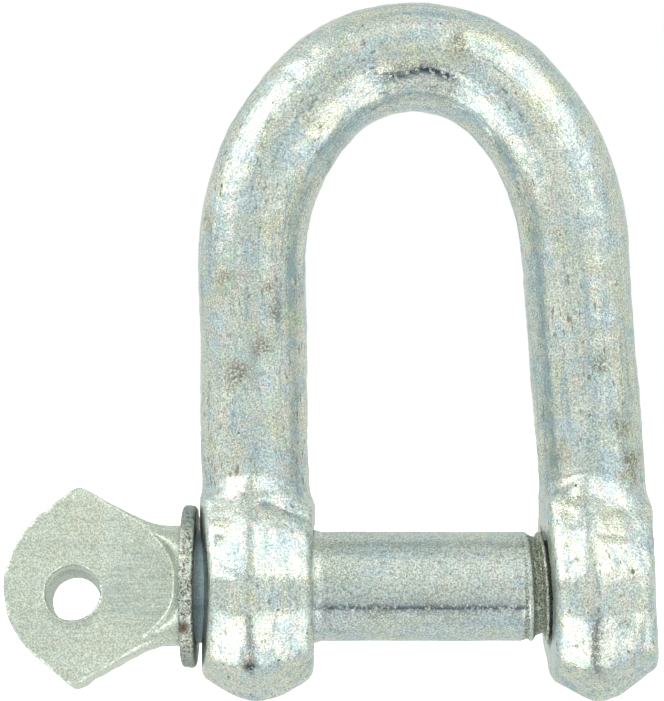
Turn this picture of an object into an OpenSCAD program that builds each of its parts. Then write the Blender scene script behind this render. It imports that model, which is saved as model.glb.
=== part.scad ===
// Forged D shackle with a screw collar pin that has an eye head, nominal size 12 mm.
// The origin is on the pin's axis, midway between the two ears. X runs along the pin to its
// threaded end, Z points to the crown, and Y crosses the shackle from its front to its back.

/* [Bar and arch] */
// Diameter of the round bar of the two legs
leg_d = 11.5; // [11:0.1:11.7]
// Diameter of the bar at the crown, where bending has thickened it
crown_d = 11.9; // [11.8:0.1:12.4]
// Height of the arch's springing line above the pin's axis
spring_z = 36.2; // [32:0.1:42]
// Centreline radius of the crown
crown_r = 15; // [14:0.1:16.5]
// Centreline radius of the arch's two flanks
flank_r = 25.3; // [24:0.1:27]
// Angle above the springing line at which a flank becomes the crown
flank_angle = 43; // [40:1:50]
// Sideways offset of the arch, since the body was bent a little out of true
arch_x = -1.75; // [-2.5:0.05:0]

/* [Ears] */
// Clear width of the jaw between the two ears
jaw_w = 25.6; // [24:0.1:27]
// Thickness of the plain ear, which is on the side of the pin's head
plain_ear_t = 12.5; // [12:0.1:13]
// Thickness of the threaded ear
threaded_ear_t = 11.9; // [11.8:0.1:12.6]
// Radius of an ear at the ridge around its middle
ear_r = 12.3; // [11.5:0.1:13]
// Radius of the ear's rim where it meets the faces
ear_face_r = 9; // [8:0.1:10]
// Width of the small bevel between the rim and a face
ear_bevel = 0.8; // [0.4:0.1:1.2]
// Radius of the barrel shape of an ear's outer side
ear_barrel_r = 19; // [17:0.5:26]
// Lean of the threaded ear, whose leg splays outwards
threaded_ear_lean = 2.5; // [0:0.5:4]
// Diameter of the plain ear's hole
clear_hole_d = 13; // [12.9:0.1:13.4]

/* [Pin] */
// Diameter of the pin's shank
pin_d = 12; // [11.6:0.1:12.2]
// Diameter of the shank's thicker root, in the collar and the plain ear
root_d = 12.4; // [12.4:0.1:12.6]
// How far the root reaches past the plain ear into the jaw
root_past_ear = 0.5; // [0.3:0.1:1]
// Place of the pin's tip along X
tip_x = 23.6; // [22:0.1:24.5]
// Width of the bevel on the tip
tip_bevel = 0.9; // [0.5:0.1:1.5]
// Play between the collar and the ear, as the pin is backed off a little
collar_gap = 0.35; // [0.3:0.05:2]
// Thickness of the collar
collar_t = 1.55; // [1.2:0.05:2.5]
// Diameter of the collar
collar_d = 17.7; // [16:0.1:19]
// Bevel around the collar's rim
collar_bevel = 0.35; // [0.2:0.05:0.5]
// Radial clearance between the collar and the shank inside it
collar_play = 0.04; // [0.03:0.01:0.08]

/* [Thread] */
// Pitch of the right-hand metric thread
pitch = 1.75; // [1.5:0.25:1.75]
// Depth of the thread
thread_depth = 0.95; // [0.8:0.05:1.05]
// Clearance between the two threads, across their flanks and at their crests
thread_play = 0.2; // [0.15:0.01:0.22]
// Place along X where the shank ends and the thread's relief starts
relief_x = 10.4; // [9:0.1:11]
// Place along X of the thread's first ridge, at the top of the pin
first_ridge_x = 11.97; // [11.8:0.01:12.2]
// Flat sides on each turn of the thread
thread_sides = 24; // [16:2:32]

/* [Eye head] */
// Thickness of the flattened head
head_t = 4.9; // [4:0.1:6]
// Radius of the head's round end
head_r = 10.4; // [9:0.1:11.5]
// Distance from the collar to the middle of the head's round end
head_reach = 9.5; // [8:0.1:11]
// Distance from the collar to the two corners of the fan
corner_reach = 12; // [10:0.1:13]
// Height of the fan's corners above the pin's axis
corner_z = 11.3; // [10.5:0.1:12]
// Diameter of the neck between the head and the collar
neck_d = 12.7; // [12.7:0.1:13.2]
// Length of the neck's round part
neck_w = 1; // [0.6:0.1:1.6]
// Distance from the collar at which the neck flares into the fan
flare_start = 3.2; // [2.5:0.1:4.5]
// Diameter of the eye
eye_d = 6.2; // [5.5:0.1:7]
// Distance from the collar to the eye's middle
eye_reach = 11.9; // [10:0.1:13]
// Offset of the eye below the pin's axis, from loose forging
eye_drop = 0.7; // [0:0.1:1]
// Turn of the head about the pin's axis, away from the plane of the body
head_turn = -14; // [-45:1:45]

/* [Hidden] */
$fn = 96;

leg_r = leg_d / 2;
crown_bar_r = crown_d / 2;
flank_bar_r = (leg_r + crown_bar_r) / 2;
lap = 2;                              // degrees by which a flank goes into the crown
leg_lap = 0.6;                        // how far a leg goes into its flank
pin_r = pin_d / 2;
pin_root_r = root_d / 2;
neck_r = neck_d / 2;
neck_step = 0.6;                      // how far inside the neck's side the fan starts
shoulder_angle = 52;                  // where the corners' outer edges meet the head's arc
flank_dx = (flank_r - crown_r) * cos(flank_angle);
crown_z = spring_z + (flank_r - crown_r) * sin(flank_angle);
collar_in = -jaw_w / 2 - plain_ear_t - collar_gap;
collar_out = collar_in - collar_t;
neck_x = collar_out - collar_play;
core_r = pin_r - thread_depth;
tapped_r = core_r + thread_play;
crest_w = pitch / 8;                  // flat on top of a thread ridge
root_w = pitch * 3 / 4;               // width of a ridge at its root
ridge_sink = 0.3;                     // how far a ridge goes into the core
thread_length = tip_x - tip_bevel - first_ridge_x - crest_w;
groove_turns = threaded_ear_t / pitch + 3; // the tapped hole's thread runs out past both faces
leg_foot = 8;                         // height above the pin's axis at which a leg ends
steel = [0.73, 0.76, 0.74];
dull_steel = [0.62, 0.60, 0.53];

// In these, side is -1 for the plain ear's side and 1 for the threaded ear's.
function ear_t(side) = side < 0 ? plain_ear_t : threaded_ear_t;
function ear_x(side) = side * (jaw_w + ear_t(side)) / 2;
function flank_x(side) = arch_x - side * flank_dx;
function ear_to_flank(side) = side * (ear_x(side) - flank_x(side));

// Lean of a leg off the vertical, so that it is tangent to its flank and meets its ear
function leg_lean(side) =
    atan(ear_to_flank(side) / spring_z)
    - asin(flank_r / norm([ear_to_flank(side), spring_z]));
function leg_length(side) =
    sqrt(pow(ear_to_flank(side), 2) + pow(spring_z, 2) - pow(flank_r, 2));

// One arc of the bar, in the plane of X and Z, from angle a0 to angle a1.
module bar_arc(cx, cz, r, a0, a1, section_r)
    translate([cx, 0, cz])
        rotate([90, 0, 0])
            rotate_extrude(angle = a1 - a0, start = a0)
                translate([r, 0]) circle(section_r);

module crown()
    bar_arc(arch_x, crown_z, crown_r, flank_angle, 180 - flank_angle, crown_bar_r);

module right_flank()
    bar_arc(flank_x(1), spring_z, flank_r, leg_lean(1), flank_angle + lap, flank_bar_r);

module left_flank()
    bar_arc(
        flank_x(-1), spring_z, flank_r,
        180 - flank_angle - lap, 180 - leg_lean(-1), flank_bar_r
    );

// A leg ends inside its ear, clear of the pin's hole.
module leg(side)
    translate([ear_x(side), 0, 0])
        rotate([0, -side * leg_lean(side), 0])
            translate([0, 0, leg_foot])
                cylinder(r = leg_r, h = leg_length(side) - leg_foot + leg_lap);

// An ear is a disc around the pin's axis. Its rim rises to a ridge at mid thickness, where the
// forging dies met, and its outer side is barrel-shaped.
module ear(side, lean) {
    half = ear_t(side) / 2;
    translate([ear_x(side), 0, 0])
        rotate([0, -side * lean, 0])
            intersection() {
                rotate([0, 90, 0])
                    rotate_extrude()
                        polygon([
                            [0, -half],
                            [ear_face_r, -half],
                            [ear_face_r + ear_bevel, ear_bevel - half],
                            [ear_r, 0],
                            [ear_face_r + ear_bevel, half - ear_bevel],
                            [ear_face_r, half],
                            [0, half]
                        ]);
                translate([side * (half - ear_barrel_r), 0, -2 * ear_r])
                    cylinder(r = ear_barrel_r, h = 4 * ear_r);
            }
}

// A point of a right-hand helix around the X axis, at angle a from the top of the pin.
function on_helix(a, x, r) = [x + pitch * a / 360, -r * sin(a), r * cos(a)];

// A helical ridge around the X axis: a trapezium of widths low_w at low_r and top_w at top_r.
module helix_ridge(x0, turns, low_w, low_r, top_w, top_r) {
    steps = round(turns * thread_sides);
    angle = 360 / thread_sides;
    points = [
        for (i = [0:steps], p = [[-low_w, low_r], [-top_w, top_r], [top_w, top_r], [low_w, low_r]])
            on_helix(i * angle, x0 + p[0] / 2, p[1])
    ];
    last = 4 * steps;
    faces = concat(
        [[2, 1, 0], [3, 2, 0]],
        [
            for (i = [0:steps - 1], k = [0:3])
                let (a = 4 * i + k, b = 4 * i + (k + 1) % 4)
                each [[b + 4, a + 4, a], [b, b + 4, a]]
        ],
        [[last, last + 1, last + 2], [last, last + 2, last + 3]]
    );
    polyhedron(points, faces);
}

module along_x(x0, x1, r)
    translate([x0, 0, 0]) rotate([0, 90, 0]) cylinder(r = r, h = x1 - x0);

module plain_ear()
    difference() {
        ear(-1, 0);
        along_x(ear_x(-1) - plain_ear_t, ear_x(-1) + plain_ear_t, clear_hole_d / 2);
    }

// The tapped ear. Its thread has play all round the pin's, so that the pin turns freely.
module threaded_ear()
    difference() {
        ear(1, threaded_ear_lean);
        along_x(ear_x(1) - threaded_ear_t, ear_x(1) + threaded_ear_t, tapped_r);
        helix_ridge(
            first_ridge_x - pitch, groove_turns,
            root_w + thread_play, core_r, crest_w + thread_play, pin_r + thread_play
        );
    }

module shackle_body()
    color(steel) {
        crown();
        left_flank();
        right_flank();
        for (side = [-1, 1]) leg(side);
        plain_ear();
        threaded_ear();
    }

// The collar is turned with the pin from one piece. It is a solid of its own so that it can
// carry the pin's travel, and the shank turns inside it.
module pin_collar()
    color(dull_steel)
    translate([collar_out, 0, 0])
        rotate([0, 90, 0])
            rotate_extrude()
                polygon([
                    [pin_root_r + collar_play, 0],
                    [collar_d / 2 - collar_bevel, 0],
                    [collar_d / 2, collar_bevel],
                    [collar_d / 2, collar_t - collar_bevel],
                    [collar_d / 2 - collar_bevel, collar_t],
                    [pin_root_r + collar_play, collar_t]
                ]);

// The flattened fan of the head: it leaves the round neck, widens to two corners and ends in
// an arc.
module head_outline() {
    middle_x = neck_x - head_reach;
    corner_x = neck_x - corner_reach;
    shoulder = head_r * [cos(shoulder_angle), sin(shoulder_angle)];
    intersection() {
        translate([middle_x, 0]) circle(head_r);
        translate([corner_x - 2 * head_r, -head_r]) square(2 * head_r);
    }
    polygon([
        for (side = [1, -1], p = side > 0 ? [0:3] : [3:-1:0])
            let (edge = [
                [neck_x - neck_w / 2, neck_r - neck_step],
                [neck_x - flare_start, neck_r],
                [corner_x, corner_z],
                [middle_x - shoulder.x, shoulder.y]
            ])
            [edge[p].x, side * edge[p].y]
    ]);
}

// The plate of the head, with its eye
module eye_plate()
    difference() {
        rotate([90, 0, 0])
            linear_extrude(head_t, center = true) head_outline();
        translate([neck_x - eye_reach, 0, -eye_drop])
            rotate([90, 0, 0])
                cylinder(d = eye_d, h = 2 * head_t, center = true);
    }

// All that is round about the pin's axis, from the neck behind the head to the tip
module shank()
    rotate([0, 90, 0])
        rotate_extrude()
            polygon([
                [0, neck_x - flare_start],
                [head_t / 4, neck_x - flare_start],
                [neck_r, neck_x - neck_w],
                [neck_r, neck_x],
                [pin_root_r, neck_x],
                [pin_root_r, root_past_ear - jaw_w / 2],
                [pin_r, root_past_ear - jaw_w / 2],
                [pin_r, relief_x],
                [core_r, relief_x + thread_depth / 2],
                [core_r, tip_x - tip_bevel],
                [core_r - tip_bevel, tip_x],
                [0, tip_x]
            ]);

module screw_pin()
    color(steel)
    rotate([head_turn, 0, 0]) {
        eye_plate();
        shank();
        helix_ridge(
            first_ridge_x + head_turn * pitch / 360, thread_length / pitch,
            root_w, core_r - ridge_sink, crest_w, pin_r
        );
    }

shackle_body();
pin_collar();
screw_pin();
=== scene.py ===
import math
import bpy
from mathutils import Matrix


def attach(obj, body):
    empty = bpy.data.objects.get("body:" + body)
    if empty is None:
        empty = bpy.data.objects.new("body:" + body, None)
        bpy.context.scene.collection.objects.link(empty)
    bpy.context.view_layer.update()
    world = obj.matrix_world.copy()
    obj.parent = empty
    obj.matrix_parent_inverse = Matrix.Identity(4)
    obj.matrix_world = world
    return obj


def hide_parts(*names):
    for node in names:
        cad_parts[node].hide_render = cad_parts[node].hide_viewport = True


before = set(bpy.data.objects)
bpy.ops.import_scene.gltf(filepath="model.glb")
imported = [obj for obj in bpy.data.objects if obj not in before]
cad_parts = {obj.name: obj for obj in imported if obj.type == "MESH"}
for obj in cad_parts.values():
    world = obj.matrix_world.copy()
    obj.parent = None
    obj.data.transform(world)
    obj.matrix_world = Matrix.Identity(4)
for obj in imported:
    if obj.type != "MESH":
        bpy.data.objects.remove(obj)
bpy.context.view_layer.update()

# A forged D shackle with a screw pin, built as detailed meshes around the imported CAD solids.
# All shapes are worked out in millimetres, in the CAD frame, and made in metres.
from types import SimpleNamespace

import bpy
import numpy as np
from mathutils import Vector

MM = 0.001

# The origin is on the pin's axis, midway between the ears. X runs along the pin to its threaded
# end, Z points to the crown, and the front is -Y. A side is -1 for the plain ear's side and 1 for
# the threaded ear's.

# ---------------------------------------------------------------- sizes, in millimetres
# R is a radius, T a thickness, W a width, X and Z a place, and a reach is measured outwards from
# the collar.

# The bar: its radii in the legs and in the crown, and the arcs that its centreline follows
LEG_R, CROWN_BAR_R = 5.86, 5.95
SPRING_Z, CROWN_R, FLANK_R = 36.2, 15.0, 25.3
FLANK_ANGLE, ARCH_X = math.radians(43), -1.85
FLANK_DX = (FLANK_R - CROWN_R) * math.cos(FLANK_ANGLE)
CROWN_Z = SPRING_Z + (FLANK_R - CROWN_R) * math.sin(FLANK_ANGLE)
# Where round the bar the forging dies met, from its outer side over its front
DIE_LINE = math.radians(141)

# The ears: the jaw between them, their thickness and lean, and the bow of their outer sides
JAW_W = 25.6
EAR_T = {-1: 12.5, 1: 11.9}
EAR_LEAN = {-1: 0.0, 1: math.radians(2.5)}
EAR_BOW = 0.18

# The plain hole, and the play round the thread in the tapped one
CLEAR_HOLE_R = 6.5
TAPPED_PLAY = 0.16

# The pin's shank with its thicker root, and its right-hand thread
PIN_R, ROOT_R = 6.0, 6.2
ROOT_END_X, TIP_X = -12.3, 23.6
PITCH, THREAD_DEPTH, RIDGE_X = 1.75, 0.95, 11.97
THREAD_START_X, THREAD_FULL_X = 9.9, 12.5

# The collar: its two faces, its rim and bore, and the rounding of its rim
COLLAR_OUT_X, COLLAR_IN_X = -27.2, -25.65
COLLAR_R, COLLAR_BORE_R, COLLAR_ROUND = 8.85, 6.24, 0.42

# The neck, which is sunk a little into the collar, and the flattened head
NECK_X, NECK_R, NECK_SUNK = -27.24, 6.35, 0.62
HEAD_HALF_T, HEAD_R, HEAD_REACH, HEAD_DROP = 2.45, 10.05, 9.36, 0.15
SHOULDER_ANGLE = math.radians(52)
HEAD_TURN = math.radians(-14)
# The head's eye, which slants and widens towards the front
EYE_R, EYE_REACH, EYE_DROP = 2.8, 11.85, 1.22
EYE_SLANT, EYE_TAPER = 0.09, 0.08


def ear_x(side):
    return side * (JAW_W + EAR_T[side]) / 2


def flank_x(side):
    return ARCH_X - side * FLANK_DX


def leg_lean(side):
    """Lean of a leg off the vertical, which meets its flank without a kink."""
    across = side * (ear_x(side) - flank_x(side))
    return math.atan(across / SPRING_Z) - math.asin(FLANK_R / math.hypot(across, SPRING_Z))


# ---------------------------------------------------------------- fields and meshes
def smooth_min(a, b, k):
    """The smaller of two values, rounded over where they differ by less than k."""
    h = np.clip(0.5 + 0.5 * (b - a) / k, 0, 1)
    return b + (a - b) * h - k * h * (1 - h)


def smooth_max(a, b, k):
    return -smooth_min(-a, -b, k)


def smooth_step(low, high, x):
    """0 at low and 1 at high, with a smooth rise between them. low may be the higher number."""
    t = np.clip((x - low) / (high - low), 0, 1)
    return t * t * (3 - 2 * t)


def bump(x, width):
    """1 at 0, and fading to nothing on both sides of it."""
    return np.exp(-((x / width) ** 2))


class Lumps:
    """A smooth random field in space: a few plane waves of about one wavelength."""

    def __init__(self, seed, wavelength, waves=14):
        rng = np.random.RandomState(seed)
        k = rng.normal(size=(waves, 3))
        k *= (2 * math.pi / wavelength) / np.linalg.norm(k, axis=1)[:, None]
        self.k = k * rng.uniform(0.65, 1.5, waves)[:, None]
        self.phase = rng.uniform(0, 2 * math.pi, waves)
        self.gain = math.sqrt(2 / waves)

    def __call__(self, p):
        return np.sin(p @ self.k.T + self.phase).sum(1) * self.gain


def surface_net(field, low, high, step):
    """The zero surface of a field as (points, quads), one point to each cell that it crosses."""
    low = np.array(low, float)
    counts = np.ceil((np.array(high) - low) / step).astype(int) + 1
    axes = [low[i] + step * np.arange(counts[i]) for i in range(3)]
    yy, zz = np.meshgrid(axes[1], axes[2], indexing="ij")
    values = np.empty(counts)
    for i, x in enumerate(axes[0]):
        slab = np.stack([np.full(yy.size, x), yy.ravel(), zz.ravel()], 1)
        values[i] = field(slab).reshape(yy.shape)
    stride = np.array([counts[1] * counts[2], counts[2], 1])
    owners, crossings, quads = [], [], []
    for a in range(3):
        unit = np.eye(3, dtype=int)
        before = np.take(values, range(counts[a] - 1), axis=a)
        after = np.take(values, range(1, counts[a]), axis=a)
        at = np.argwhere((before < 0) != (after < 0))
        v0, v1 = before[tuple(at.T)], after[tuple(at.T)]
        point = low + step * (at + (v0 / (v0 - v1))[:, None] * unit[a])
        b, c = unit[(a + 1) % 3], unit[(a + 2) % 3]
        ring = np.stack([at @ stride, (at - b) @ stride, (at - b - c) @ stride, (at - c) @ stride], 1)
        quads.append(np.where((v0 < 0)[:, None], ring, ring[:, ::-1]))
        owners.append(ring.ravel())
        crossings.append(np.repeat(point, 4, axis=0))
    owners, crossings = np.concatenate(owners), np.concatenate(crossings)
    cells, index = np.unique(owners, return_inverse=True)
    index = index.ravel()
    total = np.bincount(index)
    points = np.stack([np.bincount(index, crossings[:, i]) / total for i in range(3)], 1)
    return points, np.searchsorted(cells, np.concatenate(quads))


def settle(points, field, rounds=4, most=0.15, h=0.02):
    """Moves points onto a field's zero surface."""
    for _ in range(rounds):
        slope = np.stack(
            [(field(points + h * e) - field(points - h * e)) / (2 * h) for e in np.eye(3)], 1
        )
        push = field(points) / np.maximum((slope**2).sum(1), 0.3)
        move = -push[:, None] * slope
        far = np.linalg.norm(move, axis=1)
        points = points + move * np.minimum(1, most / np.maximum(far, 1e-9))[:, None]
    return points


def field_mesh(rough, fine, low, high, step):
    """The zero surface of a fine field, found by way of a rough one that is close to it."""
    points, quads = surface_net(rough, low, high, step)
    return settle(points, fine), quads


def around_axis(x, r, a):
    """Points at places along the X axis, at radii, and at angles from +Z towards -Y."""
    return np.stack([x, -r * np.sin(a), r * np.cos(a)], -1)


def lathe_mesh(stations, radius, around):
    """A closed surface round the X axis. radius(x, a) gives the outside at angle a, measured from
    +Z towards -Y."""
    a = np.arange(around) * 2 * math.pi / around
    x, angle = np.meshgrid(stations, a, indexing="ij")
    points = around_axis(x, radius(x, angle), angle).reshape(-1, 3)
    rows = len(stations)
    i, j = np.meshgrid(np.arange(rows - 1), np.arange(around), indexing="ij")
    k = (j + 1) % around
    quads = np.stack([i * around + j, i * around + k, (i + 1) * around + k, (i + 1) * around + j], 2)
    faces = quads.reshape(-1, 4).tolist()
    first, last, end = len(points), len(points) + 1, (rows - 1) * around
    points = np.concatenate([points, [[stations[0], 0, 0], [stations[-1], 0, 0]]])
    faces += [[first, (n + 1) % around, n] for n in range(around)]
    faces += [[last, end + n, end + (n + 1) % around] for n in range(around)]
    return points, faces


def ring_mesh(profile, around, shift):
    """A ring round the X axis from a closed profile of (x, r) points, with a shift of each point."""
    profile = np.array(profile)
    a = np.arange(around) * 2 * math.pi / around
    angle, n = np.meshgrid(a, np.arange(len(profile)), indexing="ij")
    x, r = profile[n, 0], profile[n, 1]
    dx, dr = shift(x, r, angle)
    points = around_axis(x + dx, r + dr, angle).reshape(-1, 3)
    size = len(profile)
    i, j = np.meshgrid(np.arange(around), np.arange(size), indexing="ij")
    ni, nj = (i + 1) % around, (j + 1) % size
    quads = np.stack([i * size + j, ni * size + j, ni * size + nj, i * size + nj], 2)
    return points, quads.reshape(-1, 4).tolist()


def make_object(name, points, faces):
    """An object in the scene from points in millimetres."""
    mesh = bpy.data.meshes.new(name)
    mesh.from_pydata((np.asarray(points) * MM).tolist(), [], np.asarray(faces, object).tolist())
    mesh.update()
    obj = bpy.data.objects.new(name, mesh)
    bpy.context.scene.collection.objects.link(obj)
    return obj


def cut(obj, operation, tool):
    """Applies a boolean between two objects and removes the tool."""
    step = obj.modifiers.new("cut", "BOOLEAN")
    step.operation, step.object, step.solver = operation, tool, "EXACT"
    bpy.context.view_layer.update()
    graph = bpy.context.evaluated_depsgraph_get()
    mesh = bpy.data.meshes.new_from_object(obj.evaluated_get(graph), depsgraph=graph)
    obj.modifiers.clear()
    obj.data = mesh
    bpy.data.objects.remove(tool)


# Angle between two faces, in degrees, from which their edge looks sharp
FORGED_SHARP, TURNED_SHARP = 38, 50


def shade(obj, sharp_degrees):
    obj.data.polygons.foreach_set("use_smooth", np.ones(len(obj.data.polygons), bool))
    obj.data.set_sharp_from_angle(angle=math.radians(sharp_degrees))
    obj.data.update()


def vertex_points(obj):
    """An object's vertices in millimetres."""
    co = np.empty(len(obj.data.vertices) * 3)
    obj.data.vertices.foreach_get("co", co)
    return co.reshape(-1, 3) / MM


def store(obj, name, values):
    """A value or a vector for each vertex, for the materials."""
    kind = "FLOAT_VECTOR" if values.ndim == 2 else "FLOAT"
    layer = obj.data.attributes.new(name, kind, "POINT")
    layer.data.foreach_set("vector" if values.ndim == 2 else "value", values.astype(np.float32).ravel())


# ---------------------------------------------------------------- the body's bar and ears
FLANK_START = CROWN_R * (math.pi / 2 - FLANK_ANGLE)


def bar_place(p):
    """Each point's offset outwards from the bar's centreline, and its place along it from the top
    of the crown, positive towards the threaded ear."""
    x, z = p[:, 0], p[:, 2]
    turn = np.arctan2(z - CROWN_Z, x - ARCH_X)
    out = np.hypot(x - ARCH_X, z - CROWN_Z) - CROWN_R
    along = CROWN_R * (math.pi / 2 - turn)
    on_crown = (turn >= FLANK_ANGLE) & (turn <= math.pi - FLANK_ANGLE)
    for side in (-1, 1):
        lean = leg_lean(side)
        u, w = side * (x - flank_x(side)), z - SPRING_Z
        angle = np.arctan2(w, u)
        mine = ~on_crown & (side * (x - ARCH_X) > 0)
        flank = mine & (angle >= lean)
        leg = mine & (angle < lean)
        out = np.where(flank, np.hypot(u, w) - FLANK_R, out)
        out = np.where(leg, u * math.cos(lean) + w * math.sin(lean) - FLANK_R, out)
        run = FLANK_START + FLANK_R * (FLANK_ANGLE - angle)
        run_leg = FLANK_START + FLANK_R * (FLANK_ANGLE - lean) + u * math.sin(lean) - w * math.cos(lean)
        along = np.where(flank, side * run, np.where(leg, side * run_leg, along))
    return out, along


def bar_field(p):
    """Distance outside the bent bar, which ends in the ears at the pin's height."""
    out, along = bar_place(p)
    r = CROWN_BAR_R + (LEG_R - CROWN_BAR_R) * smooth_step(10, 45, np.abs(along))
    field = np.hypot(out, p[:, 1]) - r
    return smooth_max(field, -p[:, 2], 1.0)


# The ear's rim is hammered to flats. Each is the angle of a flat above the front, and how far
# from the pin's axis its ridge lies. The last flat of each ear is its own.
EAR_FLATS = ((0, 12.1), (24, 11.95), (-24, 11.95), (-57, 11.9), (-90, 12.25), (90, 11.9))
EAR_TOP_FLAT = {-1: (41, 12.3), 1: (37, 11.95)}
FLAT_SHARPNESS = 7.0
# Each flat falls away on both sides of a ridge. How far the ridge lies inwards of the middle of the
# ear, at the front and at the foot.
RIDGE_SHIFT = {-1: -0.4, 1: 1.8}
FOOT_SHIFT = {-1: 0.0, 1: 0.75}
# How steeply a flat falls away from its ridge, and how round the ridge is, at the front and at the
# foot
GABLE, GABLE_ROUND = math.radians(23), 0.7
FOOT_GABLE = {-1: math.radians(39), 1: math.radians(36.5)}
FOOT_OUTER_EXTRA = {-1: math.radians(5), 1: 0.0}
FOOT_ROUND = {-1: 5.0, 1: 2.2}
# Rounding between an ear's rim and its faces, between both and its outer side, and between an ear
# and the leg
RIM_ROUND, BOW_ROUND, LEG_BLEND = 0.9, 0.7, 1.4
# How far from the pin's axis the plain ear is faced flat, where the collar comes up to it, and
# where that facing has faded
FACED_R, UNFACED_R = 9.3, 11


def ear_local(p, side):
    """Each point's place across the ear and its height, measured square to the leaning ear."""
    x, z = p[:, 0] - ear_x(side), p[:, 2]
    c, s = math.cos(EAR_LEAN[side]), math.sin(EAR_LEAN[side])
    return x * c + z * s, -x * s + z * c


def ear_foot(w):
    """1 at the foot of an ear and 0 above it."""
    return smooth_step(-7.5, -11, w)


def from_ridge(u, w, side):
    """Distance across the ear from its ridge."""
    return u + side * (RIDGE_SHIFT[side] + (FOOT_SHIFT[side] - RIDGE_SHIFT[side]) * ear_foot(w))


def ear_field(p, side):
    """Distance outside an ear: rounded flats round its rim, two faces, and a bowed outer side."""
    u, w = ear_local(p, side)
    front, foot = np.abs(p[:, 1]), ear_foot(w)
    rounding = GABLE_ROUND + (FOOT_ROUND[side] - GABLE_ROUND) * foot
    ridge = np.sqrt(from_ridge(u, w, side) ** 2 + rounding**2) - rounding
    foot_gable = FOOT_GABLE[side] + FOOT_OUTER_EXTRA[side] * smooth_step(-1, 2, side * u)
    gable = GABLE + (foot_gable - GABLE) * foot
    flats = []
    for degrees, distance in (*EAR_FLATS, EAR_TOP_FLAT[side]):
        tilt = math.radians(degrees)
        beyond = front * math.cos(tilt) + w * math.sin(tilt) - distance
        flats.append(np.cos(gable) * beyond + np.sin(gable) * ridge)
    peak = np.maximum.reduce(flats)
    rim = peak + np.log(sum(np.exp(FLAT_SHARPNESS * (f - peak)) for f in flats)) / FLAT_SHARPNESS
    half = EAR_T[side] / 2
    faces = np.abs(u) - half
    bow = side * u - half + EAR_BOW * (np.sqrt(p[:, 1] ** 2 + 9) - 3)
    return smooth_max(smooth_max(rim, faces, RIM_ROUND), bow, BOW_ROUND)


def body_field(p):
    """Distance outside the plain forging, before its dents and holes."""
    field = bar_field(p)
    for side in (-1, 1):
        field = smooth_min(field, ear_field(p, side), LEG_BLEND)
    past_face = ear_x(-1) - EAR_T[-1] / 2 - p[:, 0]
    off_axis = np.hypot(p[:, 1], p[:, 2])
    return np.maximum(field, past_face - 3 * smooth_step(FACED_R, UNFACED_R, off_axis))


# ---------------------------------------------------------------- the body's marks
# Marks on the front of the body: x, z, radius and depth of each dent, and x, z and radius of each
# brown stain. The first dent is a nick with a dark bottom.
NICK_X, NICK_Z = -19.5, -7.6
DENTS = (
    (NICK_X, NICK_Z, 0.75, 0.28), (-19.9, -6.2, 0.5, 0.14), (-22.8, 5.9, 0.45, 0.16),
    (-9.0, 57.5, 0.35, 0.14), (-14.5, 47.4, 0.4, 0.14), (-15.1, 46.4, 0.3, 0.12),
    (-13.9, 45.2, 0.3, 0.12), (-20.4, 42.5, 0.35, 0.13), (-18.2, 40.9, 0.3, 0.10),
)
STAINS = (
    (-20.9, 23.4, 1.6), (-18.3, 26.2, 1.2), (18.1, 24.4, 1.4), (20.0, 17.6, 1.6), (21.6, 14.2, 1.3),
    (21.2, 12.2, 0.9), (20.1, -3.1, 1.0), (-22.8, 5.9, 0.7), (-19.5, -7.4, 0.7), (3.0, 59.0, 1.6),
    (-22.2, 33.6, 0.9), (-17.6, 32.6, 0.9), (-16.8, 30.2, 1.1),
)
# Creases on the front, where the bar was hammered out to the ears: the x and z of both ends, and
# a depth.
CREASES = (
    ((-18.5, 9.9), (-13.4, 7.7), 0.14), ((14.0, 12.3), (17.6, 13.1), 0.10),
    ((-22.9, 3.0), (-19.2, 1.6), 0.08), ((17.2, 6.6), (21.4, 5.9), 0.07),
)


def creases(p, width):
    """How deep the creases are at each point, for lines of a half width."""
    total = 0
    for (x0, z0), (x1, z1), depth in CREASES:
        run = math.hypot(x1 - x0, z1 - z0)
        ux, uz = (x1 - x0) / run, (z1 - z0) / run
        t = (p[:, 0] - x0) * ux + (p[:, 2] - z0) * uz
        across = (p[:, 0] - x0) * uz - (p[:, 2] - z0) * ux
        beyond = np.abs(t - run / 2) - run / 2
        total = total + depth * bump(across, width) * smooth_step(0.6, -0.6, beyond)
    return total * (p[:, 1] < 0)


def front_dents(p):
    """How deep the dents and creases on the front are at each point."""
    marks = [d * bump(np.hypot(p[:, 0] - x, p[:, 2] - z), r) for x, z, r, d in DENTS]
    return sum(marks) * (p[:, 1] < 0) + creases(p, 0.35)


# The forging's unevenness: the depth and the random field of each size of it
BODY_LUMPS = ((0.035, Lumps(3, 11)), (0.022, Lumps(5, 3.2)), (0.012, Lumps(8, 1.3)))
# The rolling marks along the bar: the depth of each set, how many there are round the bar, where
# the first one is, and how much they drift
ROLL_MARKS = ((0.026, 5, 0.6, 0.4), (0.018, 8, 2.1, 1.0), (0.010, 13, 4.0, -1.5))
# The wrinkle inside the crown: its angle round the bar, and its middle along it
FOLD_ANGLE, FOLD_ALONG = math.radians(114), 0.4
# How deep the ear's face is worn where the collar bears on it. The smooth seat fades in over these
# places along X and away over these distances from the pin's axis.
SEAT_DEPTH = 0.03
SEAT_X = (-23.4, -24.6)
SEAT_R = (10.6, 9.2)


def die_marks(out, y, along):
    """Faint lengthwise flats, left on the bar by rolling."""
    a = np.arctan2(-y, out)
    drift = 0.35 * np.sin(along / 9.0 + 1) + 0.2 * np.sin(along / 4.1)
    marks = sum(d * np.cos(count * a + first + share * drift) for d, count, first, share in ROLL_MARKS)
    return marks + 0.06 * bump(LEG_R * (a - DIE_LINE), 0.45)


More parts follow.
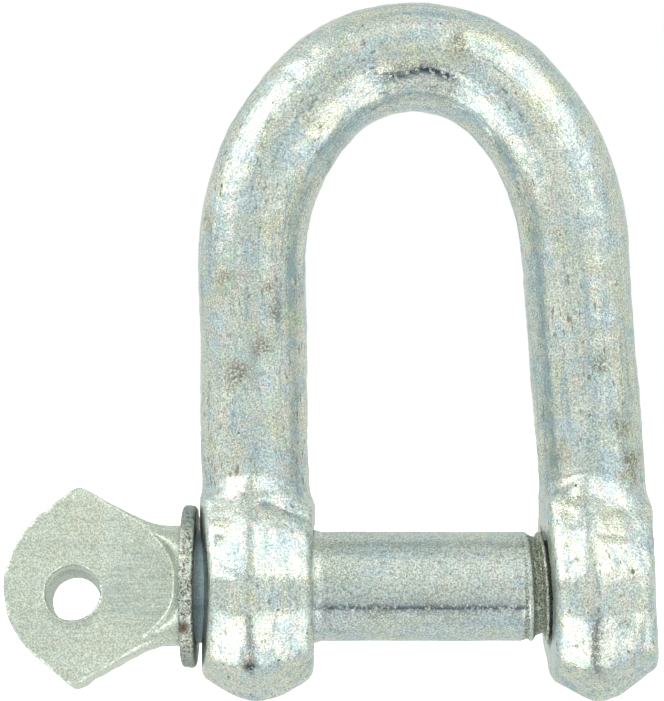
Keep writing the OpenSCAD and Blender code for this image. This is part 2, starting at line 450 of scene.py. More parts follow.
def fold(out, y, along):
    """Distance round the bar from the wrinkle inside the crown's front, where the bar folded as it
    was bent, and how much of the wrinkle there is at that place along the bar."""
    off_fold = CROWN_BAR_R * (np.arctan2(-y, out) - FOLD_ANGLE)
    off_fold = off_fold + 0.30 * np.sin(along / 2.6 + 0.5) + 0.12 * np.sin(along / 0.8)
    return off_fold, smooth_step(6.2, 3.6, np.abs(along - FOLD_ALONG))


def wrinkle(out, y, along):
    """How deep the wrinkle is: a narrow fold in a broad hollow, with a low swelling beside it."""
    off_fold, narrow = fold(out, y, along)
    broad = smooth_step(11, 6, np.abs(along))
    hollow = 0.22 * bump(off_fold, 1.5) * broad
    swelling = 0.10 * bump(off_fold - 2.6, 1.2) * broad
    return 0.28 * bump(off_fold, 0.34) * narrow + hollow - swelling


def collar_seat(p):
    """1 on the outer face of the plain ear, where the collar comes up to it, and 0 away from it."""
    return smooth_step(*SEAT_X, p[:, 0]) * smooth_step(*SEAT_R, np.hypot(p[:, 1], p[:, 2]))


def body_detail(p):
    """Distance outside the forging with all its dents, marks and creases."""
    out, along = bar_place(p)
    y = p[:, 1]
    on_bar = smooth_step(9, 16, p[:, 2])
    dents = sum(depth * lumps(p) for depth, lumps in BODY_LUMPS)
    seat = collar_seat(p)
    dents = dents * (1 - seat) + SEAT_DEPTH * seat + front_dents(p)
    return body_field(p) + dents + on_bar * (die_marks(out, y, along) + wrinkle(out, y, along))


# ---------------------------------------------------------------- the body
# Corners of the space that is searched for the body's surface, and the size of its faces
BODY_SPACE = ((-27, -14, -14), (27, 14, 66.5))
BODY_STEP = 0.35
body = make_object("forged_body", *field_mesh(body_field, body_detail, *BODY_SPACE, BODY_STEP))


def thread(x, a, depth):
    """Radius of the right-hand thread at full pin size, with its crests at the CAD's ridges."""
    turns = (x - RIDGE_X - PITCH * a / (2 * math.pi)) / PITCH
    away = 2 * np.abs(turns - np.round(turns))
    return PIN_R - depth * smooth_step(0.10, 0.62, away)


# The tapped hole's mouths: their radius, and how far off the ear's two faces, towards the jaw, they
# are widest
TAPPED_MOUTH_R, TAPPED_MOUTH_OFF = 6.75, (0.1, 0.25)
# The bevel on the plain hole's mouths
PLAIN_BEVEL = 0.45


def tapped_hole(x, a):
    """Radius of the tapped hole's cutter at angle a, from the thread with play around it."""
    inner = JAW_W / 2
    outer = inner + EAR_T[1]
    from_mouth = np.minimum(
        np.abs(x - inner + TAPPED_MOUTH_OFF[0]), np.abs(x - outer + TAPPED_MOUTH_OFF[1])
    )
    return np.maximum(thread(x, a, THREAD_DEPTH) + TAPPED_PLAY, TAPPED_MOUTH_R - from_mouth)


def plain_hole(x, a):
    """Radius of the plain hole's cutter, which is the same at every angle."""
    inner = -JAW_W / 2
    outer = inner - EAR_T[-1]
    from_mouth = np.minimum(np.abs(x - inner), np.abs(x - outer))
    return CLEAR_HOLE_R + np.maximum(0, PLAIN_BEVEL - from_mouth)


AROUND = 144
# Each hole's cutter: its radius, both its ends along X, and how far apart its rows are
HOLES = {
    "tapped_hole": (tapped_hole, 11.2, 26.2, 0.12),
    "plain_hole": (plain_hole, -26.8, -11.6, 0.15),
}
for name, (hole_radius, start, end, gap) in HOLES.items():
    rows = round((end - start) / (gap * 1))
    tool = make_object(name, *lathe_mesh(np.linspace(start, end, rows), hole_radius, AROUND))
    cut(body, "DIFFERENCE", tool)
shade(body, FORGED_SHARP)

# Distances from the pin's axis at which a hole's wall starts and has begun
HOLE_WALL_R = (6.75, 6.6)
# Width and strength of the painted dark reflection on the lower half of each ear's ridge
RIDGE_REFLECTIONS = {-1: (0.4, 0.45), 1: (0.75, 0.62)}


def mark_body(obj):
    """Stores where the body's holes, stains, painted shade and painted dark reflections are, and the
    bar's own directions.
    """
    at = vertex_points(obj)
    x, y, z = at.T
    out, along = bar_place(at)
    store(obj, "bar", np.stack([out, y, along], 1) * MM)
    store(obj, "hole", smooth_step(*HOLE_WALL_R, np.hypot(y, z)))
    stains = sum(bump(np.hypot(x - stain_x, z - stain_z), r) for stain_x, stain_z, r in STAINS)
    store(obj, "stain", np.clip(stains, 0, 1) * (y < 0))
    off_fold, narrow = fold(out, y, along)
    nick = bump(np.hypot(x - NICK_X, (z - NICK_Z) * 1.6), 0.75)
    # Painted dark reflection along the lower half of each ear's ridge.
    ridge_reflection = sum(
        strength * bump(from_ridge(*ear_local(at, side), side), width)
        for side, (width, strength) in RIDGE_REFLECTIONS.items()
    )
    ridge_reflection = ridge_reflection * smooth_step(-10, -8, z) * smooth_step(-0.5, -2.5, z)
    # Painted shade in the crown's wrinkle and in the creases, painted dark reflections on the ears'
    # ridges, and the nick's dark bottom.
    shade_and_dark_reflections = (1.3 * bump(off_fold, 0.5) * narrow + nick + ridge_reflection) * (y < 0)
    store(obj, "shade_and_dark_reflections", shade_and_dark_reflections + 3.0 * creases(at, 0.22))


mark_body(body)


# ---------------------------------------------------------------- the pin
# Where the fan's flanks start to spread, how fast, and over what length they bend
SPREAD_REACH, SPREAD, SPREAD_BEND = 3.1, 0.55, 1.6
# What turns a height above a flank into the distance from it, nearly
FLANK_SCALE = 0.89
# Rounding of the fan's two corners, of the plate's edges, of the eye's edges, and how much rounder
# the plate's edges are by the neck
CORNER_ROUND, EDGE_ROUND, EYE_ROUND, NECK_EDGE_ROUND = 0.55, 0.34, 0.3, 1.4
# How far the neck's round part reaches onto the plate's face in its middle, and how much further
# beside it
SHOULDER_REACH, SHOULDER_CURVE = 0.75, 0.13


def flank_height(reach):
    """Height of the fan's flanks at a reach outwards from the collar."""
    rise = reach - SPREAD_REACH
    return NECK_R + SPREAD * 0.5 * (rise + np.sqrt(rise**2 + SPREAD_BEND**2))


def head_outline(reach, height):
    """Distance outside the fan, seen flat: two flanks that spread from the neck, and a round end."""
    flank = (height - flank_height(reach)) * FLANK_SCALE
    u = reach - HEAD_REACH
    round_end = np.hypot(u, height) - HEAD_R
    shoulder = u * math.cos(SHOULDER_ANGLE) + height * math.sin(SHOULDER_ANGLE) - HEAD_R
    end = np.where(np.arctan2(height, u) < SHOULDER_ANGLE, round_end, shoulder)
    return smooth_max(flank, end, CORNER_ROUND)


def head_field(p):
    """Distance outside the head: a flat fan with an eye, and the round neck that it leaves."""
    x, y, z = p.T
    reach = NECK_X - x
    height = np.abs(z + HEAD_DROP * smooth_step(2, 8, reach))
    behind = -reach - NECK_SUNK
    outline = np.maximum(head_outline(reach, height), behind)
    edge_round = EDGE_ROUND + NECK_EDGE_ROUND * bump(reach - 1.0, 5.0)
    plate = smooth_max(outline, np.abs(y) - HEAD_HALF_T, edge_round)
    eye = np.hypot(reach - EYE_REACH, z + EYE_DROP + EYE_SLANT * y) - EYE_R + EYE_TAPER * y
    plate = smooth_max(plate, -eye, EYE_ROUND)
    foot = SHOULDER_REACH + SHOULDER_CURVE * np.maximum(0, height - 1) ** 2
    rise = np.clip(1 - reach / foot, 0, 1) ** 0.3
    round_neck = np.sqrt(np.maximum(NECK_R**2 - height**2, 0))
    step = np.abs(y) - HEAD_HALF_T - np.maximum(round_neck - HEAD_HALF_T, 0) * rise
    neck = np.maximum(np.hypot(y, height) - NECK_R, np.maximum(reach - foot, behind))
    return smooth_min(plate, np.maximum(neck, 0.5 * step), 0.4)


head_swell = Lumps(21, 9)
head_dimples = Lumps(22, 2.6)
shank_swell = Lumps(31, 6)
shank_grain = Lumps(32, 1.6)


def head_detail(p):
    """Distance outside the head with its unevenness, which is strongest at the sheared edges."""
    reach = NECK_X - p[:, 0]
    edge = smooth_step(-1.6, -0.2, head_outline(reach, np.abs(p[:, 2])))
    return head_field(p) + 0.02 * head_swell(p) + (0.008 + 0.022 * edge) * head_dimples(p)


def turned(points, angle):
    """Points turned about the pin's axis."""
    x, y, z = points.T
    c, s = math.cos(angle), math.sin(angle)
    return np.stack([x, y * c - z * s, y * s + z * c], 1)


HEAD_SPACE = ((-49, -8, -13.5), (-26, 8, 13.5))
HEAD_STEP = 0.22
points, quads = field_mesh(head_field, head_detail, *HEAD_SPACE, HEAD_STEP)
pin = make_object("screw_pin_forging", turned(points, HEAD_TURN), quads)

# How long the tip's bevel is, and how fast it narrows
TIP_BEVEL, TIP_STEEPNESS = 1.5, 1.05


def shank_radius(x, a):
    """Radius of the shank at angle a: a thicker root, the thread, and a bevelled tip."""
    r = PIN_R + (ROOT_R - PIN_R) * smooth_step(ROOT_END_X + 0.15, ROOT_END_X - 0.25, x)
    depth = THREAD_DEPTH * np.clip((x - THREAD_START_X) / (THREAD_FULL_X - THREAD_START_X), 0, 1)
    r = r - (PIN_R - thread(x, a, depth))
    r = np.minimum(r, PIN_R - (x - (TIP_X - TIP_BEVEL)) * TIP_STEEPNESS)
    near = around_axis(x, PIN_R, a).reshape(-1, 3)
    return r + (0.012 * shank_swell(near) + 0.006 * shank_grain(near)).reshape(x.shape)


# The shank starts inside the collar, where it overlaps the end of the neck.
SHANK_START_X = -26.75
PLAIN_ROWS, THREAD_ROWS = ((92, 150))
shank_x = np.concatenate([
    np.linspace(SHANK_START_X, THREAD_START_X, PLAIN_ROWS, endpoint=False),
    np.linspace(THREAD_START_X, TIP_X, THREAD_ROWS),
])
shank = make_object("shank", *lathe_mesh(shank_x, shank_radius, AROUND))
cut(pin, "UNION", shank)
shade(pin, FORGED_SHARP)

# Painted dark reflections in lines along the front of the shank: height, width and strength of each
DARK_REFLECTION_LINES = ((-1.75, 0.24, 0.75), (-1.4, 0.8, 0.30), (4.9, 0.35, 0.22))
# The brushed patch on the head, an oval: its reach and height, and half its size in both
BRUSHED_REACH, BRUSHED_Z = 4.6, -0.5
BRUSHED_HALF = (4.2, 5.2)


def mark_pin(obj):
    """Stores where the pin's thread, head, brushed patch, painted shade and painted dark reflections
    are. The painted shade lies on the root by the collar, on the eye's wall and on the neck's
    shoulders.
    """
    x, y, z = vertex_points(obj).T
    reach = NECK_X - x
    on_shank = x > COLLAR_IN_X
    in_groove = smooth_step(-0.02, 0.12, PIN_R - np.hypot(y, z)) * (x > THREAD_START_X)
    on_crests = 0.6 * smooth_step(10.9, 11.6, x)
    store(obj, "thread", np.maximum(in_groove, on_crests))
    store(obj, "head", smooth_step(NECK_X, NECK_X - 0.6, x))
    from_eye = np.hypot(reach - EYE_REACH, z + EYE_DROP)
    eye_wall = smooth_step(EYE_R + 0.5, EYE_R + 0.2, from_eye)
    # Painted shade on the root between the collar and the ear, then on the eye's wall and the neck's
    # shoulders.
    root = smooth_step(ROOT_END_X - 6, ROOT_END_X - 9, x) * on_shank
    above_face = np.abs(y * math.cos(HEAD_TURN) + z * math.sin(HEAD_TURN)) - HEAD_HALF_T
    shoulder = smooth_step(0.1, 0.5, above_face) * (x < NECK_X + 0.2)
    store(obj, "root", root + 0.70 * eye_wall + 0.50 * shoulder)
    oval = np.hypot((reach - BRUSHED_REACH) / BRUSHED_HALF[0], (z - BRUSHED_Z) / BRUSHED_HALF[1])
    store(obj, "brushed", smooth_step(1.1, 0.7, oval))
    # Painted dark reflections in lines along the front of the shank.
    dark_reflections = sum(strength * bump(z - height, width) for height, width, strength in DARK_REFLECTION_LINES)
    store(obj, "shade_and_dark_reflections", dark_reflections * (y < 0) * on_shank * (x < THREAD_START_X + 0.6))


mark_pin(pin)


# ---------------------------------------------------------------- the collar
collar_lumps = Lumps(41, 3.5)
collar_grain = Lumps(42, 0.9)
# A nick in the outer edge of the rim: its angle, from the top over the front
NICK_ANGLE = math.radians(201)
# The middle of a spot of rust on the rim
RUST_SPOT = (-26.9, -8.2, -3.6)


def collar_shift(x, r, a):
    """How far the rim's roughness moves each point along the axis and outwards."""
    near = around_axis(x, r, a).reshape(-1, 3)
    rim = smooth_step(7.6, 8.7, r)
    rough = collar_lumps(near).reshape(x.shape)
    fine = collar_grain(near).reshape(x.shape)
    nick = bump(a - NICK_ANGLE, 0.07) * bump(x - COLLAR_OUT_X, 0.5)
    return (0.01 * rough + 0.01 * fine) * rim, (0.025 * fine + 0.02 * rough - 0.2 * nick) * rim


def collar_profile():
    """The collar's section as (x, r) points: out along the outer face, round one corner, along the
    rim, round the other corner, back along the inner face, and along the bore."""
    out_x, in_x = COLLAR_OUT_X + COLLAR_ROUND, COLLAR_IN_X - COLLAR_ROUND
    corner_r = COLLAR_R - COLLAR_ROUND
    quarter = [
        (COLLAR_ROUND * math.cos(t), COLLAR_ROUND * math.sin(t))
        for t in np.linspace(0, math.pi / 2, 7)
    ]
    return [
        *((COLLAR_OUT_X, r) for r in np.linspace(COLLAR_BORE_R, corner_r, 10)),
        *((out_x - c, corner_r + s) for c, s in quarter[1:]),
        *((x, COLLAR_R) for x in np.linspace(out_x, in_x, 6)[1:-1]),
        *((in_x + s, corner_r + c) for c, s in quarter),
        *((COLLAR_IN_X, r) for r in np.linspace(corner_r, COLLAR_BORE_R, 10)[1:]),
        *((x, COLLAR_BORE_R) for x in np.linspace(COLLAR_IN_X, COLLAR_OUT_X, 5)[1:-1]),
    ]


collar = make_object("pin_collar_ring", *ring_mesh(collar_profile(), 2 * AROUND, collar_shift))
shade(collar, TURNED_SHARP)


# ---------------------------------------------------------------- materials
class Graph:
    """A material's or world's nodes, added by short calls."""

    def __init__(self, tree):
        self.tree = tree
        tree.nodes.clear()

    def node(self, kind, inputs=(), **settings):
        made = self.tree.nodes.new(kind)
        for key, value in settings.items():
            setattr(made, key, value)
        for key, value in dict(inputs).items():
            if isinstance(value, bpy.types.NodeSocket):
                self.tree.links.new(value, made.inputs[key])
            else:
                made.inputs[key].default_value = value
        return made

    def math(self, operation, a, b=0.0):
        return self.node("ShaderNodeMath", {0: a, 1: b}, operation=operation).outputs[0]

    def add(self, a, b):
        return self.math("ADD", a, b)

    def times(self, a, b):
        return self.math("MULTIPLY", a, b)

    def span(self, value, low, high, to_low=0.0, to_high=1.0):
        """value mapped smoothly from low..high to to_low..to_high, and held outside it."""
        return self.node(
            "ShaderNodeMapRange",
            {"Value": value, "From Min": low, "From Max": high, "To Min": to_low, "To Max": to_high},
            interpolation_type="SMOOTHSTEP",
        ).outputs["Result"]

    def mix(self, factor, a, b, blend="MIX"):
        """Colour a, with b over it by a factor."""
        made = self.node("ShaderNodeMix", data_type="RGBA", blend_type=blend, clamp_factor=True)
        for socket, value in ((made.inputs[0], factor), (made.inputs[6], a), (made.inputs[7], b)):
            if isinstance(value, bpy.types.NodeSocket):
                self.tree.links.new(value, socket)
            else:
                socket.default_value = value if isinstance(value, float) else (*value, 1.0)
        return made.outputs[2]

    def scaled(self, colour, factor):
        return self.mix(1.0, colour, (factor,) * 3, "MULTIPLY")

    def axes(self, vector):
        """The x, y and z of a vector."""
        return self.node("ShaderNodeSeparateXYZ", {0: vector}).outputs

    def noise(self, at, wavelength_mm, detail=2.0, rough=0.5, distort=0.0):
        return self.node(
            "ShaderNodeTexNoise",
            {
                "Vector": at,
                "Scale": 1 / (wavelength_mm * MM),
                "Detail": detail,
                "Roughness": rough,
                "Distortion": distort,
            },
        ).outputs["Fac"]

    def stretch(self, at, factors):
        made = self.node("ShaderNodeVectorMath", {0: at, 1: factors}, operation="MULTIPLY")
        return made.outputs[0]

    def attribute(self, name, output="Fac"):
        return self.node("ShaderNodeAttribute", attribute_name=name).outputs[output]


# Colours of the plating: its two greys, the clouds over them, and the lines along the forging
COOL_GREY, WARM_GREY = (0.57, 0.62, 0.60), (0.68, 0.69, 0.62)
BLUE, YELLOW = (0.50, 0.60, 0.65), (0.68, 0.68, 0.53)
PINK, GREEN = (0.70, 0.60, 0.56), (0.50, 0.65, 0.54)
DARK_LINE, PALE_LINE = (0.40, 0.48, 0.52), (0.76, 0.77, 0.70)
# Colours of the marks on it, and of its painted shade and painted dark reflections
PIT, FLECK, DASH = (0.13, 0.12, 0.09), (0.17, 0.16, 0.12), (0.20, 0.19, 0.14)
STAIN, SHADE_AND_REFLECTION_DARK = (0.18, 0.17, 0.10), (0.07, 0.09, 0.13)
# The body's own: the line where the dies met, and the painted shade in the holes
DIE_LINE_BLUE, HOLE_SHADE_GREY = (0.30, 0.42, 0.50), (0.26, 0.28, 0.27)
# The pin's own: the thread's two browns, the painted shade on the root by the collar and away
# from it, and the head and its brush marks
THREAD_DARK, THREAD_PALE = (0.10, 0.11, 0.08), (0.64, 0.65, 0.55)
ROOT_SHADE_DARK, ROOT_SHADE_PALE = (0.14, 0.19, 0.22), (0.38, 0.50, 0.57)
HEAD_CREAM, BRUSH_GREY = (0.74, 0.76, 0.61), (0.42, 0.48, 0.47)
# The collar's own: the worn rim's two browns, rust, and the painted shade on its top and bottom
WORN_DARK, WORN_PALE = (0.05, 0.05, 0.04), (0.60, 0.61, 0.52)
RUST, COLLAR_SHADE_GREY = (0.12, 0.07, 0.04), (0.20, 0.22, 0.20)
# How much the fine grain darkens and lightens the plating
GRAIN_LOW, GRAIN_HIGH = 0.60, 1.37
# Depth of the relief that is only in the materials
RELIEF_DEPTH = 0.016


def shared_noises(g, at, along):
    """The noises that the plating's colour, roughness and relief share."""
    return SimpleNamespace(
        clouds=g.noise(at, 7.0, 3.0, 0.55),
        patches=g.noise(at, 3.4, 2.0, 0.5, 0.4),
        spots=g.noise(at, 1.5, 2.0, 0.55),
        streaks=g.noise(along, 1.1, 3.0, 0.6),
        fine_lines=g.noise(along, 0.35, 2.0, 0.5),
        speckle=g.noise(at, 0.19, 2.0, 0.65),
    )


def clouded(g, at, noises, mottle, lines, tone):
    """The plating's colour, with its clouds, lines and grain."""
    colour = g.mix(g.span(noises.clouds, 0.36, 0.64), COOL_GREY, WARM_GREY)
    for noise, none_at, full_at, amount, tint in (
        (noises.patches, 0.50, 0.64, 0.75 * mottle, BLUE),
        (noises.patches, 0.46, 0.33, 0.75 * mottle, YELLOW),
        (noises.spots, 0.56, 0.68, 0.50 * mottle, PINK),
        (noises.spots, 0.45, 0.32, 0.55 * mottle, GREEN),
        (noises.streaks, 0.53, 0.68, 0.75 * lines, DARK_LINE),
        (noises.streaks, 0.46, 0.32, 0.60 * lines, PALE_LINE),
    ):
        colour = g.mix(g.span(noise, none_at, full_at, 0, amount), colour, tint)
    grain_mask = g.span(noises.speckle, 0.30, 0.70)
    colour = g.mix(grain_mask, g.scaled(colour, GRAIN_LOW), g.scaled(colour, GRAIN_HIGH))
    colour = g.mix(1.0, colour, tone, "MULTIPLY")
    tints = g.node("ShaderNodeTexNoise", {"Vector": at, "Scale": 1 / (0.30 * MM), "Detail": 2.0})
    return g.mix(0.10, colour, tints.outputs["Color"], "OVERLAY")


def pitted(g, at):
    """1 in the plating's round pits, which gather in places, and 0 outside them."""
    cells = g.node(
        "ShaderNodeTexVoronoi", {"Vector": at, "Scale": 1 / (1.7 * MM), "Randomness": 1.0}
    )
    gather = g.noise(at, 2.4, 1.0)
    edge = g.span(gather, 0.50, 0.75, 0.0, 0.15)
    pits = g.span(g.math("SUBTRACT", cells.outputs["Distance"], edge), 0.05, -0.05)
    return g.times(pits, g.span(gather, 0.50, 0.58))


def marked(g, at, along, noises, colour, pits, dash_stretch, lines):
    """The colour with its pits, flecks, short dashes, brown stains, and its lines of painted shade and
    painted dark reflection.
    """
    flecks = g.span(g.noise(at, 0.55, 3.0, 0.75), 0.62, 0.68)
    flecks = g.times(flecks, g.span(g.noise(at, 5.0, 2.0), 0.46, 0.58))
    dashes = g.noise(g.stretch(along, dash_stretch), 0.45, 1.0, 0.5)
    dashes = g.times(g.span(dashes, 0.64, 0.71), g.span(noises.clouds, 0.42, 0.56))
    brown = g.span(g.noise(at, 4.3, 4.0, 0.7), 0.60, 0.72)
    brown = g.times(brown, g.span(noises.speckle, 0.40, 0.60))
    stained = g.times(g.attribute("stain"), g.span(noises.spots, 0.34, 0.50))
    brown = g.math("MAXIMUM", brown, stained)
    brown = g.times(brown, g.span(g.noise(at, 0.26, 2.0, 0.7), 0.44, 0.54, 0.12, 1.0))
    # Painted shade and painted dark reflections, broken up by noise.
    shade_and_dark_reflections = g.times(g.attribute("shade_and_dark_reflections"), g.span(g.noise(at, 0.45, 2.0, 0.7), 0.36, 0.50))
    for mask, strength, tint in (
        (pits, 0.8, PIT),
        (flecks, 0.8, FLECK),
        (dashes, 0.7 * lines, DASH),
        (brown, 0.9, STAIN),
        (shade_and_dark_reflections, 0.95, SHADE_AND_REFLECTION_DARK),
    ):
        colour = g.mix(g.times(mask, strength), colour, tint)
    return colour


def zinc(
    name, extra, lines_at, lines_stretch, dash_stretch,
    mottle=1.0, rough=0.30, lines=1.0, tone=(1.0, 1.0, 1.0),
):
    """Bright zinc plating: pale grey metal with blue, green, yellow and pink clouds, dark pits,
    lines along the forging, and a fine grain that breaks up its highlights. The lines follow the
    attribute lines_at, or the object's own axes, and extra adds what only one piece has."""
    material = bpy.data.materials.new(name)
    material.use_nodes = True
    g = Graph(material.node_tree)
    at = g.node("ShaderNodeTexCoord").outputs["Object"]
    along = at if lines_at is None else g.attribute(lines_at, "Vector")
    along = g.stretch(along, lines_stretch)
    noises = shared_noises(g, at, along)
    colour = clouded(g, at, noises, mottle, lines, tone)
    pits = pitted(g, at)
    colour = marked(g, at, along, noises, colour, pits, dash_stretch, lines)
    roughness = g.span(noises.patches, 0.3, 0.7, rough - 0.06, rough + 0.08)
    roughness = g.add(roughness, g.times(pits, 0.3))
    height = g.times(noises.speckle, 2.6)
    for relief, amount in (
        (g.noise(at, 0.50, 2.0, 0.6), 2.0),
        (noises.spots, 1.8 * mottle),
        (noises.fine_lines, 1.5 * lines),
        (noises.streaks, 2.6 * lines),
        (pits, -4.0),
    ):
        height = g.add(height, g.times(relief, amount))
    colour, roughness, height = extra(g, at, colour, roughness, height, noises.speckle)
    bumps = g.node(
        "ShaderNodeBump", {"Height": height, "Distance": RELIEF_DEPTH * MM, "Strength": 1.0}
    )
    shader = g.node(
        "ShaderNodeBsdfPrincipled",
        {
            "Metallic": 1.0,
            "Base Color": colour,
            "Roughness": roughness,
            "Normal": bumps.outputs[0],
        },
    )
    g.node("ShaderNodeOutputMaterial", {0: shader.outputs[0]})
    return material


def on_the_body(g, at, colour, roughness, height, speckle):
    """A blue line runs along the inside of the bar, and painted shade darkens the holes' walls."""
    bar = g.axes(g.attribute("bar", "Vector"))
    turn = g.math("ARCTAN2", g.times(bar[1], -1.0), bar[0])
    line = g.span(g.math("ABSOLUTE", g.math("SUBTRACT", turn, DIE_LINE)), 0.22, 0.04)
    line = g.times(line, g.span(g.noise(at, 2.5, 3.0, 0.6), 0.42, 0.60))
    colour = g.mix(g.times(line, 0.55), colour, DIE_LINE_BLUE)
    # Painted shade on the holes' walls.
    inside = g.attribute("hole")
    colour = g.mix(g.times(inside, 0.7), colour, HOLE_SHADE_GREY)
    return colour, g.add(roughness, g.times(inside, 0.12)), height


def on_the_pin(g, at, colour, roughness, height, speckle):
    """The cut thread is brown and dull, painted blue grey shade darkens the root by the collar, the
    eye's wall and the neck's shoulders, and the head keeps the marks of a brush on its face."""
    cut_thread = g.attribute("thread")
    dull = g.mix(g.span(speckle, 0.38, 0.62), THREAD_DARK, THREAD_PALE)
    colour = g.mix(g.times(cut_thread, 0.85), colour, dull)
    # Painted blue grey shade on the root, darkest by the collar, and on the eye's wall and the neck's
    # shoulders.
    root = g.attribute("root")
    by_collar = g.span(g.axes(at)[0], (COLLAR_IN_X - 0.1) * MM, (COLLAR_IN_X + 1.3) * MM)
    colour = g.mix(g.times(root, 0.85), colour, g.mix(by_collar, ROOT_SHADE_DARK, ROOT_SHADE_PALE))
    roughness = g.add(roughness, g.times(g.add(cut_thread, root), 0.10))
    head = g.attribute("head")
    brushed = g.noise(g.stretch(at, (0.06, 1.0, 1.0)), 0.30, 2.0)
    lines = g.times(g.span(brushed, 0.35, 0.65), g.attribute("brushed"))
    colour = g.mix(g.times(head, 0.45), colour, HEAD_CREAM)
    colour = g.mix(g.times(lines, 0.55), colour, BRUSH_GREY)
    grains = g.mix(g.span(speckle, 0.40, 0.60), g.scaled(colour, 0.76), g.scaled(colour, 1.22))
    colour = g.mix(g.times(g.add(head, root), 0.40), colour, grains)
    return colour, roughness, g.add(height, g.times(g.times(brushed, head), 3.0))


def on_the_collar(g, at, colour, roughness, height, speckle):
    """The collar's plating is thin, with brown specks and one spot of rust, and painted shade darkens
    its top and bottom."""
    worn = g.span(g.noise(at, 0.6, 3.0, 0.7), 0.38, 0.58)
    dull = g.mix(g.span(speckle, 0.38, 0.62), WORN_DARK, WORN_PALE)
    colour = g.mix(g.times(worn, 0.88), colour, dull)
    spot = g.node(
        "ShaderNodeVectorMath",
        {0: at, 1: tuple(MM * v for v in RUST_SPOT)},
        operation="DISTANCE",
    ).outputs["Value"]
    rust = g.times(g.span(spot, 1.3 * MM, 0.3 * MM), g.span(speckle, 0.30, 0.55))
    colour = g.mix(rust, colour, RUST)
    # Painted shade towards the collar's top and bottom.
    shaded_ends = g.span(g.math("ABSOLUTE", g.axes(at)[2]), 0.55 * COLLAR_R * MM, 0.98 * COLLAR_R * MM)
    colour = g.mix(g.times(shaded_ends, 0.55), colour, COLLAR_SHADE_GREY)
    return colour, g.add(roughness, 0.08), g.add(height, g.times(speckle, 2.0))


body_zinc = zinc("zinc_body", on_the_body, "bar", (1.0, 1.0, 0.10), (1.0, 1.0, 3.5))
pin_zinc = zinc(
    "zinc_pin", on_the_pin, None, (0.08, 1.0, 1.0), (4.0, 1.0, 1.0),
    mottle=0.6, rough=0.33, lines=0.6, tone=(0.92, 0.94, 0.965),
)
collar_zinc = zinc(
    "zinc_collar", on_the_collar, None, (1.0, 1.0, 1.0), (1.0, 1.0, 1.0),
    mottle=0.8, rough=0.32, lines=0.3,
)

for obj, material, body_name, node, slot in (
    (body, body_zinc, "body", "shackle_body", "plated_body"),
    (pin, pin_zinc, "pin", "screw_pin", "plated_pin"),
    (collar, collar_zinc, "collar", "pin_collar", "worn_collar"),
):
    obj.data.materials.clear()
    obj.data.materials.append(material)
    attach(obj, body_name)
    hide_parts(node)

# ---------------------------------------------------------------- floor, light and camera
# The floor lies just below the ears.
FLOOR_Z, FLOOR_HALF = -12.6, 900
CORNER_SIGNS = ((-1, -1), (1, -1), (1, 1), (-1, 1))
floor_points = [(FLOOR_HALF * x, FLOOR_HALF * y, FLOOR_Z) for x, y in CORNER_SIGNS]
floor = make_object("floor", floor_points, [(0, 1, 2, 3)])
floor_paint = bpy.data.materials.new("white_floor")
floor_paint.use_nodes = True
g = Graph(floor_paint.node_tree)
glow = g.node(
    "ShaderNodeBsdfPrincipled",
    {
        "Base Color": (0.9, 0.9, 0.9, 1.0),
        "Roughness": 0.9,
        "Emission Color": (1.0, 1.0, 1.0, 1.0),
        "Emission Strength": 0.75,
    },
)
g.tree.links.new(glow.outputs[0], g.node("ShaderNodeOutputMaterial").inputs[0])
floor.data.materials.append(floor_paint)
floor.visible_glossy = False
floor.visible_shadow = False

world = bpy.data.worlds.new("studio")
world.use_nodes = True
bpy.context.scene.world = world
g = Graph(world.node_tree)
direction = g.node("ShaderNodeTexCoord").outputs["Generated"]


def patch(toward, inner_degrees, outer_degrees):
    """1 within inner_degrees of a direction and 0 beyond outer_degrees."""
    unit = tuple(Vector(toward).normalized())
    facing = g.node("ShaderNodeVectorMath", {0: direction, 1: unit}, operation="DOT_PRODUCT")
    inner, outer = math.cos(math.radians(inner_degrees)), math.cos(math.radians(outer_degrees))
    return g.span(facing.outputs["Value"], outer, inner)


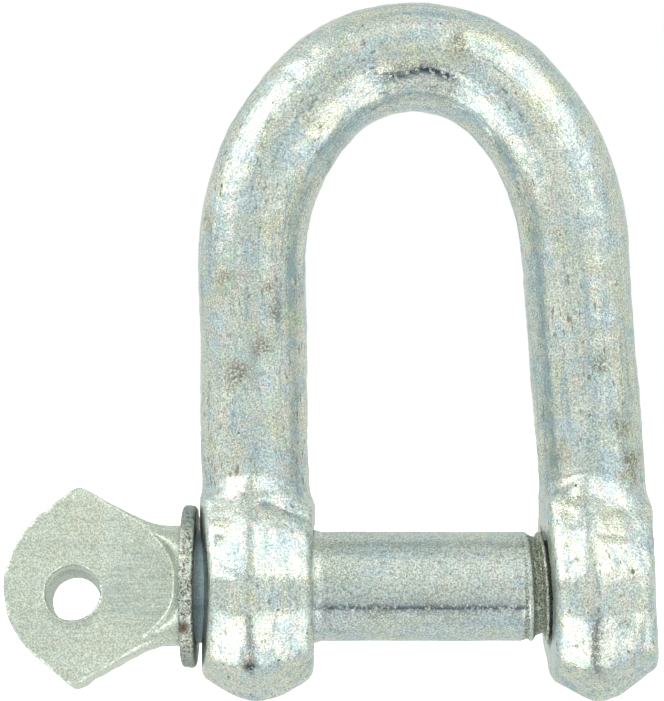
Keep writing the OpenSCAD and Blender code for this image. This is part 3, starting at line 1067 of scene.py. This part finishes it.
# The colour of the room's walls, and of the soft boxes before their strengths
ROOM, LAMP = (0.83, 0.885, 0.845), (1.0, 0.99, 0.96)
# Each soft box: the direction to it, how far it is full and where it has faded, in degrees, and
# its strength
SOFT_BOXES = (
    ((-0.81, -0.22, 0.54), 9, 21, 2.0),
    ((0.54, -0.71, 0.45), 7, 20, 1.0),
    ((0.30, -0.52, 0.80), 6, 20, 0.5),
    ((0.65, -0.48, 0.58), 8, 19, 1.3),
    ((-0.66, -0.48, 0.58), 7, 17, 1.5),
    ((-0.58, -0.42, -0.70), 12, 24, 1.8),
    ((0.53, -0.53, -0.66), 12, 24, 1.35),
)
# A dark card, low in front, which gives the pin and the ears a darker band below their middles:
# the direction to it, how far it is full and where it has faded, in degrees, and its colour
DARK_CARD, CARD_COLOUR = ((0, -0.66, -0.75), 7, 18), (0.10, 0.13, 0.17)
sky = ROOM
for toward, inner, outer, strength in SOFT_BOXES:
    sky = g.mix(patch(toward, inner, outer), sky, tuple(strength * c for c in LAMP), "ADD")
sky = g.mix(patch(*DARK_CARD), sky, CARD_COLOUR)
# Behind the shackle the camera sees white.
view_ray = g.node("ShaderNodeLightPath").outputs["Is Camera Ray"]
sky = g.mix(view_ray, sky, (1.0, 1.0, 1.0))
background = g.node("ShaderNodeBackground", {"Color": sky, "Strength": 1.0})
g.tree.links.new(background.outputs[0], g.node("ShaderNodeOutputWorld").inputs[0])

# The camera looks along +Y from straight in front. Its lens and sensor are in millimetres too.
CAMERA_PLACE = (-10.8, -250.0, 25.95)
LENS, SENSOR = 116.6, 36.0
NEAREST, FARTHEST = 10, 10_000
camera_data = bpy.data.cameras.new("camera")
camera_data.lens = LENS
camera_data.sensor_width = SENSOR
camera_data.clip_start = NEAREST * MM
camera_data.clip_end = FARTHEST * MM
camera = bpy.data.objects.new("camera", camera_data)
camera.location = Vector(CAMERA_PLACE) * MM
camera.rotation_euler = (math.radians(90), 0, 0)
bpy.context.scene.collection.objects.link(camera)
bpy.context.scene.camera = camera
bpy.context.scene.view_settings.view_transform = "Standard"
